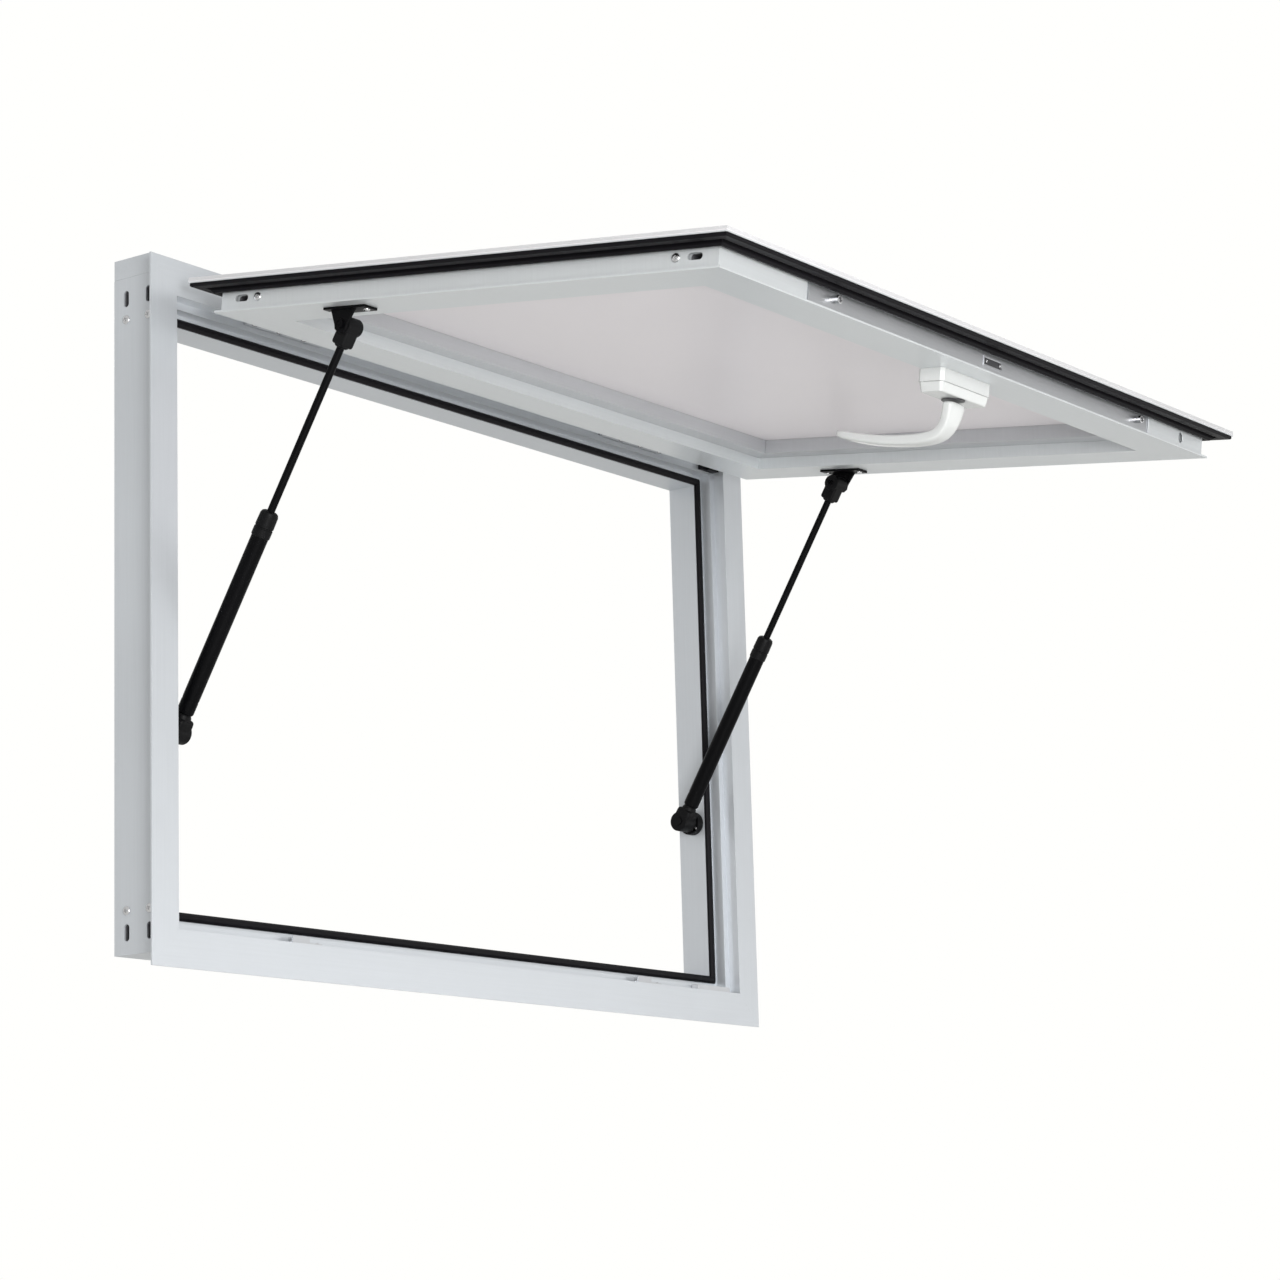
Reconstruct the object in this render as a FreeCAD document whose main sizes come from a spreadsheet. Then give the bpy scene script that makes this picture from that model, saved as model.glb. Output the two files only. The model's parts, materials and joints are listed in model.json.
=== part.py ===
import FreeCAD, Part
import math
import os
import re

import Sketcher

# Top-hung serving window: an aluminium frame for a 40 x 28 inch wall cut-out, an awning sash that
# swings outwards on two offset hinges, two gas struts, and a lever handle that drives a lock bar
# with two pins. It is stored with the sash fully open and the handle unlocked.
#
# Frame space: X along the width, Y inwards from the frame's front face, Z up from its lower edge.
# Sash space: X along the width, Y inwards from the back of the sash flange, Z up from the free
# edge of the closed sash. Both are carried into the shared space, whose origin lies on the back
# face of the flange, half way up the flange strip in the middle of the sill.

DIMENSIONS = {
    # frame extrusion: insets run inwards from the outer edge, depths run into the building
    "frame_width": 1044, "frame_height": 725, "frame_depth": 66, "flange_thick": 2,
    "flange_overhang": 15, "face_width": 38, "wall_thick": 2, "reveal_depth": 15,
    "step_inset": 46, "stop_depth": 29, "clear_inset": 60, "pack_rise": 6, "pack_back": 14,
    # sash extrusion, panel and glazing bead
    "sash_overlap": 10, "sash_gap": 4, "flange_leg": 1.5, "panel_thick": 4, "skin_thick": 0.5,
    "sash_wall_inset": 25, "lip_inset": 20, "lip_thick": 2, "sash_depth": 27.5,
    "channel_inset": 26, "channel_floor": 29, "channel_low": 4.5, "channel_high": 24.5,
    "chamber_inset": 31, "rail_inset": 78, "bead_inset": 104.5, "bead_depth": 14.3,
    "bead_wall": 1.5,
    # hinges: pin axis ahead of the frame's face, its height, and the opening angle
    "pivot_out": 17, "pivot_height": 707, "open_angle": 82.6, "hinge_across": 309,
    "hinge_length": 120, "knuckle_length": 61, "barrel_radius": 5.5, "hinge_pin_radius": 2.5,
    "strap_thick": 2, "strap_depth": 14, "leaf_thick": 2.5, "leaf_length": 40,
    # corner joints
    "corner_slot_at": 37, "corner_screw_at": 59, "front_column": 18, "rear_column": 49,
    "slot_length": 17, "slot_width": 7, "key_width": 18.6, "key_arm": 77,
    "sash_slot_at": 52.2, "sash_screw_at": 74, "sash_column": 13.5, "sash_key_arm": 90,
    # struts: lower pivot in the frame, upper pivot in the sash
    "strut_across": 440, "foot_depth": 44.5, "foot_height": 246, "bracket_from_hinge": 175,
    "bracket_depth": 44.8, "eye_width": 22, "eye_radius": 9.5, "eye_reach": 23,
    "foot_radius": 11, "foot_reach": 21, "rod_radius": 4, "rod_exposed": 202, "rod_length": 243,
    "tube_radius": 9, "tube_bore": 7.6, "gland_radius": 10, "gland_length": 28,
    "bolt_radius": 3, "tab_thick": 3, "mount_radius": 14, "mount_thick": 10,
    # handle and lock
    "handle_across": 10, "handle_from_free": 66, "rosette_length": 94, "rosette_width": 31,
    "rosette_base": 13.5, "rosette_cover": 10.5, "spindle_radius": 4, "crank_radius": 12.73,
    "grip_width": 20, "grip_thick": 11.5, "bar_left": 320, "bar_right": 365, "throw": 18,
    "window_left": 325, "window_right": 345, "window_height": 18,
    "pin_spread": 298, "pin_radius": 4.2, "pin_reach": 9, "pin_column": 14,
    # screws and keepers
    "screw_radius": 2, "head_radius": 3.6, "head_height": 2, "corner_head_radius": 4.6,
    "keeper_thick": 2, "keeper_rise": 8, "hook_thick": 1.6,
}

RUNNING = 0.06          # radial clearance of a running fit
SNUG = 0.02             # clearance of a fixed pin or screw in its hole
GAP = 0.3               # least space between faces that slide past each other
MITRE_REACH = 150       # how far the mitre cuts run inwards
HOLE = f"(screw_radius + {SNUG})"
SIDES = {"left": -1, "right": 1}

doc = FreeCAD.newDocument("serving_window")
sheet = doc.addObject("Spreadsheet::Sheet", "sizes")
nodes = {}


# ---- the sheet and bound values ----------------------------------------------------------------

def fill_sheet():
    """Writes each driving dimension to the sheet as a plain number under its alias."""
    for row, (alias, value) in enumerate(DIMENSIONS.items(), start=1):
        sheet.set(f"A{row}", alias)
        sheet.set(f"B{row}", str(value))
        sheet.setAlias(f"B{row}", alias)
    doc.recompute()


def bound(expression):
    """An expression with its plain aliases turned into references to the sheet."""
    return re.sub(r"[a-z]+(_[a-z]+)*",
                  lambda word: "sizes." + word.group() if word.group() in DIMENSIONS
                  else word.group(), str(expression))


def size(expression):
    return float(sheet.evalExpression(bound(expression)))


def bind(thing, prop, expression):
    thing.setExpression(prop, bound(expression))


def point(x, y, z):
    return FreeCAD.Vector(size(x), size(y), size(z))


def move(x, y, z):
    return FreeCAD.Placement(point(x, y, z), FreeCAD.Rotation())


def turn(axis, degrees, centre=None):
    return FreeCAD.Placement(FreeCAD.Vector(), FreeCAD.Rotation(FreeCAD.Vector(*axis), degrees),
                             centre or FreeCAD.Vector())


def keep(label, thing, placement):
    """Gives a finished sub-part its node name and its place in the shared space."""
    if thing.isDerivedFrom("Part::Primitive"):
        thing = group([thing])
    doc.recompute()
    thing.Label = label
    thing.Placement = placement.multiply(thing.Placement)
    nodes[label] = thing


# ---- sketched bodies ---------------------------------------------------------------------------

def new_body(name):
    return doc.addObject("PartDesign::Body", name)


def sketch_on(body, role, loops=(), circles=(), offset="0"):
    """A sketch on one of the body's planes with every vertex and radius bound to the sheet."""
    sketch = body.newObject("Sketcher::SketchObject", "outline")
    plane = next(item for item in body.Origin.OriginFeatures if item.Role == role)
    sketch.AttachmentSupport = [(plane, "")]
    sketch.MapMode = "FlatFace"
    bind(sketch, "AttachmentOffset.Base.z", offset)
    draw(sketch, loops, circles)
    return sketch


def draw(sketch, loops, circles=()):
    for loop in loops:
        corners = [point(x, y, 0) for x, y in loop]
        first, count = sketch.GeometryCount, len(loop)
        for start, end in zip(corners, corners[1:] + corners[:1]):
            sketch.addGeometry(Part.LineSegment(start, end))
        for index in range(count):
            following = first + (index + 1) % count
            sketch.addConstraint(Sketcher.Constraint("Coincident", first + index, 2, following, 1))
            pin_down(sketch, first + index, 1, loop[index])
    for x, y, radius in circles:
        index = sketch.addGeometry(Part.Circle(point(x, y, 0), FreeCAD.Vector(0, 0, 1),
                                               size(radius)))
        pin_down(sketch, index, 3, (x, y))
        number = sketch.addConstraint(Sketcher.Constraint("Radius", index, size(radius)))
        bind(sketch, f"Constraints[{number}]", radius)


def pin_down(sketch, geometry, vertex, names):
    for kind, name in zip(("DistanceX", "DistanceY"), names):
        number = sketch.addConstraint(Sketcher.Constraint(kind, -1, 1, geometry, vertex, size(name)))
        bind(sketch, f"Constraints[{number}]", name)


def pad(body, sketch, length, middle=True, backwards=False):
    feature = body.newObject("PartDesign::Pad", "pad")
    feature.Profile = sketch
    bind(feature, "Length", length)
    feature.Midplane = middle
    feature.Reversed = backwards
    doc.recompute()
    return feature


def pocket(body, sketch, length=None, forwards=True):
    """Cuts a sketch along its plane's normal, or both ways through everything."""
    before = body.Shape.Volume
    feature = body.newObject("PartDesign::Pocket", "pocket")
    feature.Profile = sketch
    if length is None:
        feature.Type = "ThroughAll"
        feature.Midplane = True
    else:
        bind(feature, "Length", length)
        feature.Reversed = forwards
    doc.recompute()
    if not body.Shape.Volume < before - 0.01:
        raise RuntimeError(f"a pocket in {body.Name} cuts nothing")


def rectangle(x_low, x_high, y_low, y_high):
    return [(x_low, y_low), (x_high, y_low), (x_high, y_high), (x_low, y_high)]


def octagon(x, y, along, across, corner):
    """A rectangle of along by across with cut corners, as a closed loop of expressions."""
    near, far = f"(({along})/2 - {corner})", f"(({along})/2)"
    low, high = f"(({across})/2 - {corner})", f"(({across})/2)"
    steps = [(near, high), (far, low), (far, "-" + low), (near, "-" + high),
             ("-" + near, "-" + high), ("-" + far, "-" + low), ("-" + far, low),
             ("-" + near, high)]
    return [(f"{x} + {dx}", f"{y} + {dy}") for dx, dy in steps]


def mill_slots(body, role, places, start="0", depth=None, upright=False):
    """Round-ended slots along the sketch's X, or along its Y when upright."""
    flat, ends = [], []
    reach, half = "((slot_length - slot_width)/2)", "(slot_width/2)"
    for x, y in places:
        if upright:
            flat.append(rectangle(f"{x} - {half}", f"{x} + {half}", f"{y} - {reach}", f"{y} + {reach}"))
        else:
            flat.append(rectangle(f"{x} - {reach}", f"{x} + {reach}", f"{y} - {half}", f"{y} + {half}"))
        for sign in ("-", "+"):
            ends.append((x, f"{y} {sign} {reach}", half) if upright
                        else (f"{x} {sign} {reach}", y, half))
    pocket(body, sketch_on(body, role, flat, offset=start), depth)
    pocket(body, sketch_on(body, role, circles=ends, offset=start), depth)


# ---- mitred strips: rails, beads and gaskets ---------------------------------------------------

RING = {"bottom": 0, "left": 90, "top": 180, "right": -90}


def ring_place(side, width, height):
    """Where a strip of a ring lies: its own X runs along the side and its own Z inwards."""
    across = {"left": f"-{width}/2", "right": f"{width}/2"}.get(side, "0")
    up = {"bottom": "0", "top": height}.get(side, f"{height}/2")
    return move(across, "0", up).multiply(turn((0, 1, 0), RING[side]))


def mitred_strip(name, section, cavities, side, width, height):
    """A strip of constant section, given as (depth, inset) points, mitred at both ends."""
    span = width if side in ("bottom", "top") else height
    body = new_body(name)
    pad(body, sketch_on(body, "YZ_Plane", [section] + list(cavities)), span)
    ends = [[(f"{sign}*({span}/2 + 5)", "-5"), (f"{sign}*({span}/2 - {MITRE_REACH})", MITRE_REACH),
             (f"{sign}*({span}/2 + 5)", MITRE_REACH)] for sign in (1, -1)]
    pocket(body, sketch_on(body, "XZ_Plane", ends))
    return body


def along_jamb(side, height_above, height):
    """The strip's own X of a place at some height on an upright side of a ring."""
    return f"{SIDES[side]}*({height_above} - {height}/2)"


# ---- primitives --------------------------------------------------------------------------------

TURNS = {"x": ((0, 1, 0), 90), "y": ((1, 0, 0), -90), "z": ((0, 0, 1), 0)}


def block(x_range, y_range, z_range):
    """A box between bound limits on each axis."""
    item = doc.addObject("Part::Box", "block")
    for prop, axis, (low, high) in zip(("Length", "Width", "Height"), "xyz",
                                       (x_range, y_range, z_range)):
        bind(item, prop, f"({high}) - ({low})")
        bind(item, "Placement.Base." + axis, low)
    return item


def rod(axis, start, end, radius, centre):
    """A cylinder along an axis, between start and end; centre holds the other two coordinates."""
    item = doc.addObject("Part::Cylinder", "round")
    bind(item, "Radius", radius)
    bind(item, "Height", f"({end}) - ({start})")
    direction, degrees = TURNS[axis]
    item.Placement.Rotation = FreeCAD.Rotation(FreeCAD.Vector(*direction), degrees)
    across = iter(centre)
    for name in "xyz":
        bind(item, "Placement.Base." + name, start if name == axis else next(across))
    return item


def fuse(*items):
    if len(items) == 1:
        return items[0]
    item = doc.addObject("Part::MultiFuse", "joined")
    item.Shapes = list(items)
    return item


def cut(base, *tools):
    item = doc.addObject("Part::Cut", "trimmed")
    item.Base = base
    item.Tool = fuse(*tools)
    doc.recompute()
    if not item.Shape.Volume < base.Shape.Volume - 0.01:
        raise RuntimeError("a cut removes nothing")
    return item


def group(items):
    item = doc.addObject("Part::Compound", "group")
    item.Links = list(items)
    return item


def mirrored(side, low, high):
    """Limits on X for one side: the same distances from the middle, to the left or right."""
    return (low, high) if side == "right" else (f"-({high})", f"-({low})")


def screw(axis, face, inwards, length, centre, head_radius="head_radius"):
    """A pan-head screw standing on a face, with its shank running along +axis or -axis."""
    if inwards > 0:
        head = (f"{face} - head_height", face)
        shank = (face, f"{face} + {length}")
    else:
        head = (face, f"{face} + head_height")
        shank = (f"{face} - {length}", face)
    return fuse(rod(axis, *head, head_radius, centre), rod(axis, *shank, "screw_radius", centre))


# ---- places ------------------------------------------------------------------------------------

fill_sheet()

FRAME = move("0", "-flange_thick", "-flange_overhang/2")
HINGE_POINT = point("0", "-pivot_out", "pivot_height")
OPENING = turn((1, 0, 0), -size("open_angle"), HINGE_POINT)
SASH = FRAME.multiply(OPENING).multiply(move("0", "-sash_gap", "face_width - sash_overlap"))
SASH_WIDTH = "(frame_width - 2*face_width + 2*sash_overlap)"
SASH_HEIGHT = "(frame_height - 2*face_width + 2*sash_overlap)"
PANEL_BACK = "(-flange_leg)"
PANEL_FRONT = "(-flange_leg - panel_thick)"
PIVOT_Y = "(sash_gap - pivot_out)"
PIVOT_Z = "(pivot_height - face_width + sash_overlap)"
FRAME_RING = ("frame_width", "frame_height")
SASH_RING = (SASH_WIDTH, SASH_HEIGHT)
REAR_START = "(stop_depth + wall_thick)"
LOW = "(flange_overhang + wall_thick)"


# ---- frame -------------------------------------------------------------------------------------

def frame_section():
    """The frame extrusion's outline and its two chambers, as (depth, inset) points."""
    outline = [("0", "0"), ("0", "face_width"), ("reveal_depth", "face_width"),
               ("reveal_depth", "step_inset"), ("stop_depth", "step_inset"),
               ("stop_depth", "clear_inset"), ("frame_depth", "clear_inset"),
               ("frame_depth", "flange_overhang"), ("flange_thick", "flange_overhang"),
               ("flange_thick", "0")]
    front = [("flange_thick", LOW), ("flange_thick", "face_width - wall_thick"),
             ("reveal_depth + wall_thick", "face_width - wall_thick"),
             ("reveal_depth + wall_thick", "step_inset - wall_thick"),
             ("stop_depth", "step_inset - wall_thick"), ("stop_depth", LOW)]
    rear = rectangle(REAR_START, "frame_depth - wall_thick", LOW, "clear_inset - wall_thick")
    return outline, [front, rear]


def strap_screws(side):
    """Screw places under the head for one hinge strap, as distances along X."""
    return [f"{SIDES[side]}*(hinge_across + {step})" for step in (-26, 12.5, 51)]


def mount_screws():
    """Screw places of a strut mount, as (depth, height) in frame space."""
    return [(f"foot_depth + {step}", f"foot_height + {step}") for step in (-7, 7)]


def lock_pins_across():
    """Where the two lock pins stand along X while the handle is unlocked."""
    return [f"(handle_across + throw/2 + {sign}*pin_spread)" for sign in (-1, 1)]


def keeper_screws(pin):
    return [f"{pin} - 28.5", f"{pin} + 9.5"]


def drill(body, places, start, depth, role="XY_Plane", radius=HOLE):
    """Round holes from an offset plane along that plane's normal."""
    circles = [(x, y, radius) for x, y in places]
    pocket(body, sketch_on(body, role, circles=circles, offset=start), depth)


def make_frame():
    section, chambers = frame_section()
    for side, label in (("top", "frame_head"), ("bottom", "frame_sill"),
                        ("left", "frame_jamb_left"), ("right", "frame_jamb_right")):
        body = mitred_strip(label, section, chambers, side, *FRAME_RING)
        if side == "top":
            places = [(x, "6") for half in SIDES for x in strap_screws(half)]
            drill(body, places, "face_width - wall_thick - 1", "wall_thick + 2")
        elif side == "bottom":
            places = [(x, KEEPER_SCREW_DEPTH) for pin in lock_pins_across()
                      for x in keeper_screws(pin)]
            drill(body, places, "face_width - wall_thick - 1", "wall_thick + 2",
                  radius=SMALL_HOLE)
        else:
            spots = [(sign, column) for sign in (1, -1) for column in ("front_column", "rear_column")]
            mill_slots(body, "XY_Plane",
                       [(f"{sign}*(frame_height/2 - corner_slot_at)", column)
                        for sign, column in spots], "flange_overhang - 1", "wall_thick + 2")
            drill(body, [(f"{sign}*(frame_height/2 - corner_screw_at)", column)
                         for sign, column in spots], "flange_overhang - 1", "wall_thick + 2")
            places = [(along_jamb(side, up, "frame_height"), y) for y, up in mount_screws()]
            drill(body, places, "clear_inset - wall_thick - 1", "wall_thick + 2")
        keep(label, body, FRAME.multiply(ring_place(side, *FRAME_RING)))


def head_spacer():
    """A pan on the head, open underneath: level with the flange's top, then a little higher."""
    half = "(frame_width/2 - flange_overhang)"
    inner = f"({half} - wall_thick)"
    top = "frame_height"
    shell = fuse(block((f"-{half}", half), ("flange_thick", "frame_depth"),
                       (f"{top} - flange_overhang", top)),
                 block((f"-{half}", half), ("pack_back", "frame_depth"), (top, f"{top} + pack_rise")))
    hollows = [block((f"-{inner}", inner), ("flange_thick + wall_thick", "frame_depth - wall_thick"),
                     (f"{top} - flange_overhang - 1", f"{top} - wall_thick")),
               block((f"-{inner}", inner), ("pack_back + wall_thick", "frame_depth - wall_thick"),
                     (f"{top} - wall_thick - 1", f"{top} + pack_rise - wall_thick"))]
    keep("head_spacer", cut(shell, *hollows), FRAME)


def corner_key(near, far, column, low, arm, slot_at, screw_at):
    """An L-shaped corner key, slotted and drilled in both arms."""
    body = new_body("corner_key")
    inner = f"({low} + key_width)"
    outline = [(low, low), (arm, low), (arm, inner), (inner, inner), (inner, arm), (low, arm)]
    sketch = sketch_on(body, "XZ_Plane", [outline], offset=f"-({near})")
    pad(body, sketch, f"({far}) - ({near})", middle=False, backwards=True)
    mill_slots(body, "XY_Plane", [(slot_at, column)])
    pocket(body, sketch_on(body, "XY_Plane", circles=[(screw_at, column, HOLE)]))
    mill_slots(body, "YZ_Plane", [(column, slot_at)], upright=True)
    pocket(body, sketch_on(body, "YZ_Plane", circles=[(column, screw_at, HOLE)]))
    return body


def key_ring(width, height, *sizes):
    """Four corner keys, each turned into its corner of a ring."""
    keys = []
    for degrees, x, z in ((0, f"-{width}/2", "0"), (-90, f"{width}/2", "0"),
                          (180, f"{width}/2", height), (90, f"-{width}/2", height)):
        key = corner_key(*sizes)
        key.Placement = move(x, "0", z).multiply(turn((0, 1, 0), degrees))
        keys.append(key)
    return keys


def frame_corners():
    low = f"({LOW} + {GAP}/2)"
    keys = []
    for near, far, column in (("flange_thick", "stop_depth", "front_column"),
                              (REAR_START, "frame_depth - wall_thick", "rear_column")):
        keys += key_ring(*FRAME_RING, f"{near} + {GAP}/2", f"{far} - {GAP}/2", column, low,
                         "key_arm", "corner_slot_at", "corner_screw_at")
    keep("corner_keys", group(keys), FRAME)
    screws = []
    for side, sign in SIDES.items():
        wall = f"{sign}*(frame_width/2 - flange_overhang)"
        for column in ("front_column", "rear_column"):
            for up in ("corner_screw_at", "frame_height - corner_screw_at"):
                screws.append(screw("x", wall, -sign, "14", (column, up), "corner_head_radius"))
    keep("corner_screws", group(screws), FRAME)


def stop_gaskets():
    """The soft seal on the frame's stop, which the inner face of the sash closes on."""
    inner, outer = "(clear_inset - 0.4)", "(clear_inset - 9)"
    section = [("stop_depth", outer), ("stop_depth - 2.6", outer),
               ("stop_depth - 5", "clear_inset - 6.6"), ("stop_depth - 5", "clear_inset - 3"),
               ("stop_depth - 3", inner), ("stop_depth", inner)]
    for side, label in (("top", "head"), ("bottom", "sill"), ("left", "left"), ("right", "right")):
        body = mitred_strip("stop_gasket", section, [], side, *FRAME_RING)
        keep("stop_gasket_" + label, body, FRAME.multiply(ring_place(side, *FRAME_RING)))


# ---- keepers, corner blocks, strut mounts and hinges on the frame ------------------------------

KEEPER_SCREW_DEPTH = "9"
SMALL_SCREW = "1.5"
SMALL_HEAD = "2.6"
SMALL_HOLE = f"({SMALL_SCREW} + {SNUG})"
HOOK_BACK = f"(pin_column - sash_gap - pin_radius - {GAP})"
MOUNT_FACE = "(frame_width/2 - clear_inset - mount_thick)"


def keepers():
    """Strike plates on the sill: a pin drops in beside the hook and then slides behind it."""
    top = "(face_width + keeper_thick)"
    for side, pin in zip(SIDES, lock_pins_across()):
        base = block((f"{pin} - 33", f"{pin} + 12.5"), (f"{HOOK_BACK} - hook_thick", "14.5"),
                     ("face_width", top))
        hook = block((f"{pin} - 33", f"{pin} - 7"), (f"{HOOK_BACK} - hook_thick", HOOK_BACK),
                     (top, "face_width + keeper_rise"))
        holes = [rod("z", "face_width - 1", f"{top} + 1", SMALL_HOLE, (x, KEEPER_SCREW_DEPTH))
                 for x in keeper_screws(pin)]
        keep("keeper_" + side, cut(fuse(base, hook), *holes), FRAME)


def corner_blocks():
    """Small plastic blocks in the right-hand corners of the reveal, on the sill and the head."""
    sill = block(("405", "470"), ("5", f"reveal_depth - {GAP}"),
                 ("face_width", "face_width + 6.5"))
    groove = block(("411", "464"), ("8", f"reveal_depth + 1"),
                   ("face_width + 4", "face_width + 8"))
    keep("sill_corner_block", cut(sill, groove), FRAME)
    head = block(("452", "482"), ("5", f"reveal_depth - {GAP}"),
                 ("frame_height - face_width - 5.5", "frame_height - face_width"))
    notch = block(("440", "462"), ("4", "9"),
                  ("frame_height - face_width - 7", "frame_height - face_width - 3"))
    keep("head_corner_block", cut(head, notch), FRAME)


def strut_mounts():
    """Round bosses on the jambs that carry the lower strut pivots; their screws sit flush."""
    jamb = "(frame_width/2 - clear_inset)"
    for side in SIDES:
        disc = rod("x", *mirrored(side, MOUNT_FACE, jamb), "mount_radius",
                   ("foot_depth", "foot_height"))
        cuts = []
        for centre in mount_screws():
            cuts.append(rod("x", *mirrored(side, f"{MOUNT_FACE} - 1", f"{jamb} + 1"), HOLE, centre))
            cuts.append(rod("x", *mirrored(side, f"{MOUNT_FACE} - 1",
                                           f"{MOUNT_FACE} + head_height + 0.5"),
                            f"(head_radius + {SNUG})", centre))
        keep("strut_mount_" + side, cut(disc, *cuts), FRAME)


def hinge_straps():
    """Folded straps on the frame: a leg under the head, a leg up its face, a lip with knuckles."""
    soffit = "(frame_height - face_width)"
    lip = ("pivot_height + barrel_radius - 0.5 - strap_thick", "pivot_height + barrel_radius - 0.5")
    axis = ("-pivot_out", "pivot_height")
    pins = []
    for side, sign in SIDES.items():
        middle = f"({sign}*hinge_across)"
        ends = (f"{middle} - hinge_length/2", f"{middle} + hinge_length/2")
        pieces = [block(ends, ("-strap_thick", "strap_depth"), (f"{soffit} - strap_thick", soffit)),
                  block(ends, ("-strap_thick", "0"), (f"{soffit} - strap_thick", lip[1])),
                  block(ends, ("-pivot_out + barrel_radius + 1", "-strap_thick"), lip)]
        for low, high in ((ends[0], f"{middle} - knuckle_length/2 - 0.5"),
                          (f"{middle} + knuckle_length/2 + 0.5", ends[1])):
            pieces.append(block((low, high), ("-pivot_out", "-strap_thick"), lip))
            pieces.append(rod("x", low, high, "barrel_radius", axis))
        bore = rod("x", f"{ends[0]} - 1", f"{ends[1]} + 1", f"hinge_pin_radius + {SNUG}", axis)
        holes = [rod("z", f"{soffit} - strap_thick - 1", f"{soffit} + 1", HOLE, (x, "6"))
                 for x in strap_screws(side)]
        keep("hinge_strap_" + side, cut(fuse(*pieces), bore, *holes), FRAME)
        pins.append(fuse(rod("x", *ends, "hinge_pin_radius", axis),
                         rod("x", f"{ends[0]} - 1.5", ends[0], "hinge_pin_radius + 1.5", axis),
                         rod("x", ends[1], f"{ends[1]} + 1.5", "hinge_pin_radius + 1.5", axis)))
    keep("hinge_pins", group(pins), FRAME)


def frame_hardware_screws():
    """Screws of the hinge straps, the strut mounts and the keepers."""
    screws = []
    for side, sign in SIDES.items():
        for x in strap_screws(side):
            screws.append(screw("z", "(frame_height - face_width - strap_thick)", 1, "10", (x, "6")))
        for centre in mount_screws():
            seat = f"({sign}*({MOUNT_FACE} + head_height + 0.5))"
            screws.append(screw("x", seat, sign, "mount_thick + 4", centre))
    top = "(face_width + keeper_thick)"
    for pin in lock_pins_across():
        for x in keeper_screws(pin):
            centre = (x, KEEPER_SCREW_DEPTH)
            screws.append(fuse(rod("z", top, f"{top} + 1.2", SMALL_HEAD, centre),
                               rod("z", f"{top} - 8", top, SMALL_SCREW, centre)))
    keep("frame_hardware_screws", group(screws), FRAME)


# ---- sash --------------------------------------------------------------------------------------

LEAF_SCREW_AT = 35
SPINDLE_Z = "handle_from_free"
CRANK_LOW, CRANK_HIGH = "12", "15"
TONGUE_LOW, TONGUE_HIGH = "8", "11"
TONGUE_HALF = 10
FORK_ACROSS = "(handle_across + throw/2)"
BRACKET_X = ("strut_across - 3", "strut_across + 17")
BRACKET_SCREW_X = "(strut_across + 7)"


def bracket_screws():
    """Screw places of a strut bracket, as heights in sash space."""
    return [f"({SASH_HEIGHT} - bracket_from_hinge - 5 + {step})" for step in (-22, 22)]


def leaf_screws(side):
    return [f"{SIDES[side]}*hinge_across + {step}" for step in (-45, 0, 45)]


def make_sash_rails():
    """Four mitred extrusions: flange leg, lock channel, main chamber and inner lip in one."""
    section = [(PANEL_BACK, "0"), (PANEL_BACK, "rail_inset"), ("sash_depth", "rail_inset"),
               ("sash_depth", "lip_inset"), ("sash_depth - lip_thick", "lip_inset"),
               ("sash_depth - lip_thick", "sash_wall_inset"), ("0", "sash_wall_inset"), ("0", "0")]
    channel = rectangle("channel_low", "channel_high", "channel_inset", "channel_floor")
    chamber = rectangle("wall_thick - flange_leg", "sash_depth - wall_thick", "chamber_inset",
                        "rail_inset - wall_thick")
    for side, label in (("top", "hinge"), ("bottom", "free"), ("left", "left"),
                        ("right", "right")):
        body = mitred_strip("sash_rail_" + label, section, [channel, chamber], side, *SASH_RING)
        if label == "hinge":
            places = [(x, LEAF_SCREW_AT) for half in SIDES for x in leaf_screws(half)]
            drill(body, places, "-1", "wall_thick + 2", role="XZ_Plane")
        elif label == "free":
            mill_free_rail(body)
        else:
            machine_side_rail(body, side)
        keep("sash_rail_" + label, body, SASH.multiply(ring_place(side, *SASH_RING)))


def mill_free_rail(body):
    """The lock bar's window, the fork's slot, the spindle hole and the drain slot."""
    middle = "((channel_low + channel_high)/2)"
    window = rectangle("-window_left", "window_right", f"{middle} - window_height/2",
                       f"{middle} + window_height/2")
    drain = octagon("419", middle, "9", "11", "2.6")
    pocket(body, sketch_on(body, "XY_Plane", [window, drain], offset="sash_wall_inset - 1"),
           "2.5")
    fork = rectangle(f"{FORK_ACROSS} - throw - {TONGUE_HALF} - 2", f"{FORK_ACROSS} + {TONGUE_HALF} + 2",
                     f"{TONGUE_LOW} - 0.6", f"{TONGUE_HIGH} + 0.6")
    pocket(body, sketch_on(body, "XY_Plane", [fork], offset="channel_floor - 1"), "wall_thick + 2")
    drill(body, [("handle_across", SPINDLE_Z)], "-(sash_depth + 1)", "wall_thick + 2",
          role="XZ_Plane", radius=f"(spindle_radius + {GAP})")


def machine_side_rail(body, side):
    """Corner slots and screw holes in the outer wall, bracket screw holes in the inner face."""
    start, depth = "sash_wall_inset - 1", "chamber_inset - sash_wall_inset + 2"
    mill_slots(body, "XY_Plane", [(f"{sign}*({SASH_HEIGHT}/2 - sash_slot_at)", "sash_column")
                                  for sign in (1, -1)], start, depth)
    drill(body, [(f"{sign}*({SASH_HEIGHT}/2 - sash_screw_at)", "sash_column")
                 for sign in (1, -1)], start, depth)
    inset = f"{SASH_WIDTH}/2 - {BRACKET_SCREW_X}"
    places = [(along_jamb(side, up, SASH_HEIGHT), inset) for up in bracket_screws()]
    drill(body, places, "-(sash_depth + 1)", "wall_thick + 2", role="XZ_Plane")


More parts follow.
